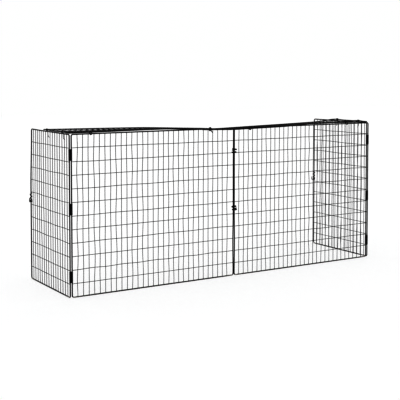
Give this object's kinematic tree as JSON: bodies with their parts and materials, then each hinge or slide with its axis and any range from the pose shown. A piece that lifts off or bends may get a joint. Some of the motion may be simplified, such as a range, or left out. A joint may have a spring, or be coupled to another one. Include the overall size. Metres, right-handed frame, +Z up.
{
  "type": "folding wire mesh guard",
  "caption": "Folding wire-mesh guard: front panels joined at a seam, swinging side panels, lift-up lids and wall hooks; open at the back and the base.",
  "frame": {"origin": "centre of the bounding box, on the floor that the guard stands on", "axes": "+X along the width towards the right-hand side panel seen from the front, +Y from the front panels towards the open back, +Z up"},
  "size_m": [1.5836, 0.4454, 0.6684],
  "materials": {
    "frame_rod": "satin black powder coat on steel rod",
    "mesh_wire": "satin black powder coat on welded steel wire",
    "sleeve_sheet": "satin black powder coat on folded steel sheet",
    "ring_wire": "black painted steel wire, rubbed bright at the ends",
    "hook_wire": "black painted steel wire, rubbed bright at the tips"
  },
  "bodies": {
    "left_front": {"left_front_frame": "frame_rod", "left_front_upright_wires": "mesh_wire", "left_front_cross_wires": "mesh_wire", "left_hinge_sleeve_top": "sleeve_sheet", "left_hinge_sleeve_middle": "sleeve_sheet", "left_hinge_sleeve_bottom": "sleeve_sheet", "seam_ring_upper": "ring_wire", "seam_ring_lower": "ring_wire"},
    "left_side": {"left_side_frame": "frame_rod", "left_side_upright_wires": "mesh_wire", "left_side_cross_wires": "mesh_wire"},
    "left_lid": {"left_lid_frame": "frame_rod", "left_lid_depth_wires": "mesh_wire", "left_lid_cross_wires": "mesh_wire", "left_lid_ring_outer": "ring_wire", "left_lid_ring_inner": "ring_wire"},
    "left_lid_hook_front": {"left_lid_hook_front": "hook_wire"},
    "left_lid_hook_back": {"left_lid_hook_back": "hook_wire"},
    "left_wall_hook": {"left_wall_hook": "hook_wire"},
    "right_front": {"right_front_frame": "frame_rod", "right_front_upright_wires": "mesh_wire", "right_front_cross_wires": "mesh_wire", "right_hinge_sleeve_top": "sleeve_sheet", "right_hinge_sleeve_middle": "sleeve_sheet", "right_hinge_sleeve_bottom": "sleeve_sheet"},
    "right_side": {"right_side_frame": "frame_rod", "right_side_upright_wires": "mesh_wire", "right_side_cross_wires": "mesh_wire"},
    "right_lid": {"right_lid_frame": "frame_rod", "right_lid_depth_wires": "mesh_wire", "right_lid_cross_wires": "mesh_wire", "right_lid_ring_outer": "ring_wire", "right_lid_ring_inner": "ring_wire"},
    "right_lid_hook_front": {"right_lid_hook_front": "hook_wire"},
    "right_lid_hook_back": {"right_lid_hook_back": "hook_wire"},
    "right_wall_hook": {"right_wall_hook": "hook_wire"}
  },
  "joints": [
    {"name": "seam_fold", "type": "hinge", "parent": "left_front", "child": "right_front", "pos_m": [0, -0.21275, 0.3], "axis": [0, 0, 1], "range_deg": [-180, 0]},
    {"name": "left_side_swing", "type": "hinge", "parent": "left_front", "child": "left_side", "pos_m": [-0.7865, -0.20875, 0.3], "axis": [0, 0, 1], "range_deg": [0, 90]},
    {"name": "left_lid_lift", "type": "hinge", "parent": "left_front", "child": "left_lid", "pos_m": [-0.39, -0.20875, 0.65625], "axis": [1, 0, 0], "range_deg": [0, 110]},
    {"name": "left_lid_hook_front_swing", "type": "hinge", "parent": "left_lid", "child": "left_lid_hook_front", "pos_m": [-0.7865, -0.14275, 0.66325], "axis": [0, -1, 0], "range_deg": [0, 60]},
    {"name": "left_lid_hook_back_swing", "type": "hinge", "parent": "left_lid", "child": "left_lid_hook_back", "pos_m": [-0.7865, 0.01625, 0.66325], "axis": [0, -1, 0], "range_deg": [0, 60]},
    {"name": "left_wall_hook_turn", "type": "hinge", "parent": "left_side", "child": "left_wall_hook", "pos_m": [-0.7865, 0.20325, 0.35], "axis": [0, 0, 1], "range_deg": [-90, 90]},
    {"name": "right_side_swing", "type": "hinge", "parent": "right_front", "child": "right_side", "pos_m": [0.7865, -0.20875, 0.3], "axis": [0, 0, -1], "range_deg": [0, 90]},
    {"name": "right_lid_lift", "type": "hinge", "parent": "right_front", "child": "right_lid", "pos_m": [0.39, -0.20875, 0.65625], "axis": [1, 0, 0], "range_deg": [0, 110]},
    {"name": "right_lid_hook_front_swing", "type": "hinge", "parent": "right_lid", "child": "right_lid_hook_front", "pos_m": [0.7865, -0.14275, 0.66325], "axis": [0, 1, 0], "range_deg": [0, 60]},
    {"name": "right_lid_hook_back_swing", "type": "hinge", "parent": "right_lid", "child": "right_lid_hook_back", "pos_m": [0.7865, 0.01625, 0.66325], "axis": [0, 1, 0], "range_deg": [0, 60]},
    {"name": "right_wall_hook_turn", "type": "hinge", "parent": "right_side", "child": "right_wall_hook", "pos_m": [0.7865, 0.20325, 0.35], "axis": [0, 0, 1], "range_deg": [-90, 90]}
  ]
}
